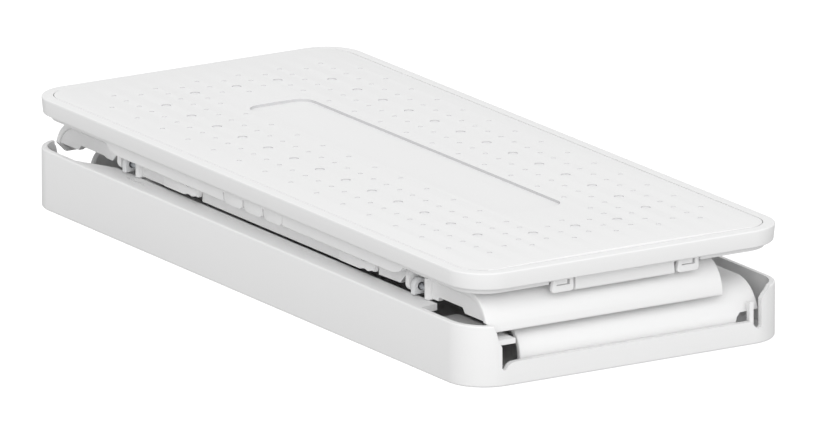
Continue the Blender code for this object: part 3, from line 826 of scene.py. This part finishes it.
class TRAY_OT_inner_frame(bpy.types.Operator):
    """Inner frame: the skirt under the rim, tub-ended along the long sides, open for tongues and hooks"""
    bl_idname = "tray.inner_frame"
    bl_label = "Cover inner frame"

    def execute(self, context):
        corner = sizes().corner
        low, high = SKIRT_LOW, SKIRT_HIGH
        skirt = as_object("cover_skirt", block(low, high, corner - 3.1 * MM, 0.0, 0.6 * MM))
        wall = Vector((SKIRT_THICK, SKIRT_THICK, 0))
        under = Vector((high.x, high.y, high.z - FLANGE_THICK))
        shape(skirt, block(low + wall - Vector((0, 0, 5 * MM)), under - wall, corner - 5 * MM))
        well = Vector((RIM_HIGH.x - 10 * MM, RIM_HIGH.y - 10 * MM, FAR))
        shape(skirt, block(-well, well, 3 * MM))
        for sign in (-1, 1):
            turn = []
            for i in range(TURN_STEPS + 1):
                angle = math.pi / 2 * i / TURN_STEPS
                turn.append((sign * (TURN_END - TURN_LENGTH * (1 - math.sin(angle))),
                             SHORT_SKIRT - (SHORT_SKIRT - low.z) * math.cos(angle)))
            turn += [(sign * FAR, SHORT_SKIRT), (sign * FAR, -FAR), (turn[0][0], -FAR)]
            for side in (-1, 1):
                near, far = sorted((side * HOOK_Y, side * FAR))
                shape(skirt, outline(turn, near, far, "XZ"))
            for y in (-HOOK_Y, HOOK_Y):
                near, far = sorted((sign * (high.x - SKIRT_THICK), sign * FAR))
                shape(skirt, self.hook_gap(y, near, far))
        half = 1.5 * SLIT_PITCH
        for sign in (-1, 1):
            near, far = sorted((sign * (high.y - SKIRT_THICK - 0.5 * MM), sign * FAR))
            shape(skirt, block((-half, near, -FAR), (half, far, high.z - FLANGE_THICK)))
        finished(skirt, "housing", "cover", "housing", "cover_inner_frame")
        return {"FINISHED"}

    def hook_gap(self, y, near, far):
        """The opening round a hook: square on one side, running to a wedge on the other."""
        foot = SKIRT_LOW.z - 1 * MM
        top = SKIRT_HIGH.z + 1 * MM
        half = HOOK_NOTCH / 2
        points = [(y - half, top), (y - half + 0.5 * MM, foot), (y + half - 0.8 * MM, foot),
                  (y + half - 0.8 * MM, top)]
        return outline(points, near, far, "YZ")


class TRAY_OT_tongues(bpy.types.Operator):
    """Three round-ended tongues between the slits on each long side of the skirt"""
    bl_idname = "tray.tongues"
    bl_label = "Skirt tongues"

    def execute(self, context):
        half = (SLIT_PITCH - SLIT_WIDTH) / 2
        top, foot = SKIRT_HIGH.z - FLANGE_THICK + 0.2 * MM, SKIRT_LOW.z - 0.2 * MM
        round_off = 2.2 * MM
        points = [(-half, top)] + arc((-half + round_off, foot + round_off), round_off, 180, 270, 8)
        points += arc((half - round_off, foot + round_off), round_off, 270, 360, 8) + [(half, top)]
        tongue = as_object("skirt_tongues", outline(points, -0.85 * MM, 0.85 * MM, "XZ", 0.25 * MM))
        run_tree(tongue, grid_tree(), {
            "Length": 2 * SLIT_PITCH, "Width": 2 * (SKIRT_HIGH.y - SKIRT_THICK / 2 + 0.1 * MM), "Along": 3,
            "Across": 2, "Finish": finish_of("housing")})
        finished(tongue, "housing", "cover", "housing")
        return {"FINISHED"}


class TRAY_OT_end_hooks(bpy.types.Operator):
    """Snap hooks at both ends of the cover, each with a window and a catch in it"""
    bl_idname = "tray.end_hooks"
    bl_label = "End hooks"

    def execute(self, context):
        low, high = (Vector(c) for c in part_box("end_hook_4"))
        centre_x, centre_y = (low.x + high.x) / 2, (low.y + high.y) / 2
        half_x, half_y = (high.x - low.x) / 2, (high.y - low.y) / 2
        round_off = 1.0 * MM
        points = [(-half_y + 0.6 * MM, high.z)] + arc((-half_y + round_off, low.z + round_off), round_off,
                                                      180, 270, 6)
        points += arc((half_y - round_off, low.z + round_off), round_off, 270, 360, 6)
        points += [(half_y, high.z)]
        hook = as_object("end_hooks", outline(points, -half_x, half_x, "YZ", 0.2 * MM))
        shape(hook, block((-FAR, -2.3 * MM, 27.5 * MM), (FAR, 2.5 * MM, 29.2 * MM)))
        catch = block((-half_x + 0.2 * MM, -2.8 * MM, 27.75 * MM), (half_x - 0.35 * MM, 1.8 * MM, 29.5 * MM))
        shape(hook, catch, "UNION")
        run_tree(hook, grid_tree(), {"Length": 2 * centre_x, "Width": 2 * centre_y, "Along": 2, "Across": 2,
                                     "Finish": finish_of("latch")})
        finished(hook, "latch", "cover", "latches", *("end_hook_%d" % i for i in (1, 2, 3, 4)))
        return {"FINISHED"}


class TRAY_OT_pads(bpy.types.Operator):
    """Foot pads: flat rubber discs with a softened edge"""
    bl_idname = "tray.pads"
    bl_label = "Foot pads"

    def execute(self, context):
        low, high = (Vector(c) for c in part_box("foot_pad_4"))
        centre = (low + high) / 2
        bm = rod((0, 0, centre.z), (high.x - low.x) / 2, high.z - low.z, "Z", 48)
        rims = [e for e in bm.edges if abs(e.verts[0].co.z - e.verts[1].co.z) < 1e-6]
        bmesh.ops.bevel(bm, geom=rims, offset=0.15 * MM, segments=2, profile=0.5, affect="EDGES")
        pads = as_object("rubber_pads", bm)
        run_tree(pads, grid_tree(), {"Length": 2 * abs(centre.x), "Width": 2 * abs(centre.y), "Along": 2,
                                     "Across": 2, "Finish": finish_of("pad")})
        finished(pads, "pad", "base", "feet", *("foot_pad_%d" % i for i in (1, 2, 3, 4)))
        return {"FINISHED"}


# ---------------------------------------------------------------- stage

AZIMUTH = 58.0
ELEVATION = 15.1
LENS = 800.0
VIEW_WIDTH = 253.5 * MM
FLOOR_GLOW, FLOOR_WHITE = 0.28, 1.0
SKY_STRENGTH = 0.77
KEY_ENERGY, KEY_SPREAD, KEY_FROM = 1.38, 60, (0.75, -0.43, 0.5)


class TRAY_OT_stage(bpy.types.Operator):
    """Pale floor, soft light and the camera"""
    bl_idname = "tray.stage"
    bl_label = "Stage"

    def execute(self, context):
        self.floor()
        self.lights()
        self.camera()
        context.scene.view_settings.view_transform = "Standard"
        return {"FINISHED"}

    def floor(self):
        bm = bmesh.new()
        bmesh.ops.create_grid(bm, x_segments=1, y_segments=1, size=30.0,
                              matrix=Matrix.Translation((0, 0, -0.2 * MM)))
        floor = as_object("floor", bm)
        paper = bpy.data.materials.new("studio_paper")
        paper.use_nodes = True
        shader = paper.node_tree.nodes["Principled BSDF"]
        shader.inputs["Base Color"].default_value = linear(PAPER_GREY) + (1.0,)
        shader.inputs["Roughness"].default_value = 1.0
        shader.inputs["Specular IOR Level"].default_value = 0.0
        shader.inputs["Emission Color"].default_value = (1.0, 1.0, 1.0, 1.0)
        # The backdrop is seen as pure white, but lights the tray only as much as pale paper would.
        ray = node(paper.node_tree, "ShaderNodeLightPath")
        glow = node(paper.node_tree, "ShaderNodeMapRange", Value=(ray, "Is Camera Ray"),
                    To_Min=FLOOR_GLOW, To_Max=FLOOR_WHITE)
        paper.node_tree.links.new(glow.outputs["Result"], shader.inputs["Emission Strength"])
        floor.data.materials.append(paper)

    def lights(self):
        world = bpy.data.worlds.new("studio")
        bpy.context.scene.world = world
        world.use_nodes = True
        world.node_tree.nodes["Background"].inputs["Color"].default_value = (1.0, 1.0, 1.0, 1.0)
        world.node_tree.nodes["Background"].inputs["Strength"].default_value = SKY_STRENGTH
        key = bpy.data.lights.new("key", "SUN")
        key.energy = KEY_ENERGY
        key.angle = math.radians(KEY_SPREAD)
        lamp = bpy.data.objects.new("key", key)
        lamp.rotation_euler = Vector(KEY_FROM).to_track_quat("Z", "Y").to_euler()
        bpy.context.scene.collection.objects.link(lamp)

    def camera(self):
        lens = bpy.data.cameras.new("camera")
        lens.lens = LENS
        lens.clip_end = 100.0
        camera = bpy.data.objects.new("camera", lens)
        bpy.context.scene.collection.objects.link(camera)
        turn, rise = math.radians(AZIMUTH), math.radians(ELEVATION)
        back = Vector((math.sin(turn) * math.cos(rise), -math.cos(turn) * math.cos(rise), math.sin(rise)))
        facing = back.to_track_quat("Z", "Y")
        right, up = facing @ Vector((1, 0, 0)), facing @ Vector((0, 1, 0))
        middle = (Vector(CAD_BOX[0]) + Vector(CAD_BOX[1])) / 2
        aim = middle + right * 2.75 * MM - up * 1.8 * MM
        camera.location = aim + back * VIEW_WIDTH * LENS / lens.sensor_width
        camera.rotation_euler = facing.to_euler()
        bpy.context.scene.camera = camera


# ---------------------------------------------------------------- panel and registration

STEPS = (TRAY_OT_stage, TRAY_OT_base, TRAY_OT_upper_wall, TRAY_OT_lower_wall, TRAY_OT_hinges,
         TRAY_OT_latches, TRAY_OT_cover_rim, TRAY_OT_cover_panel, TRAY_OT_inner_frame, TRAY_OT_tongues,
         TRAY_OT_end_hooks, TRAY_OT_pads)


class TRAY_PT_panel(bpy.types.Panel):
    """Lists the tray's pieces in the sidebar"""
    bl_idname = "TRAY_PT_panel"
    bl_label = "Folding tray"
    bl_space_type = "VIEW_3D"
    bl_region_type = "UI"
    bl_category = "Tray"

    def draw(self, context):
        for step in STEPS:
            self.layout.operator(step.bl_idname)
        for group in (context.scene.tray_sizes, context.scene.tray_colours):
            for name in group.__annotations__:
                self.layout.prop(group, name)


CLASSES = (TraySizes, TrayColours) + STEPS + (TRAY_PT_panel,)


def register():
    for item in CLASSES:
        bpy.utils.register_class(item)
    bpy.types.Scene.tray_sizes = bpy.props.PointerProperty(type=TraySizes)
    bpy.types.Scene.tray_colours = bpy.props.PointerProperty(type=TrayColours)


def unregister():
    del bpy.types.Scene.tray_colours
    del bpy.types.Scene.tray_sizes
    for item in reversed(CLASSES):
        bpy.utils.unregister_class(item)


def main():
    register()
    for step in STEPS:
        getattr(bpy.ops.tray, step.bl_idname.split(".")[1])()


if __name__ == "__main__":
    main()
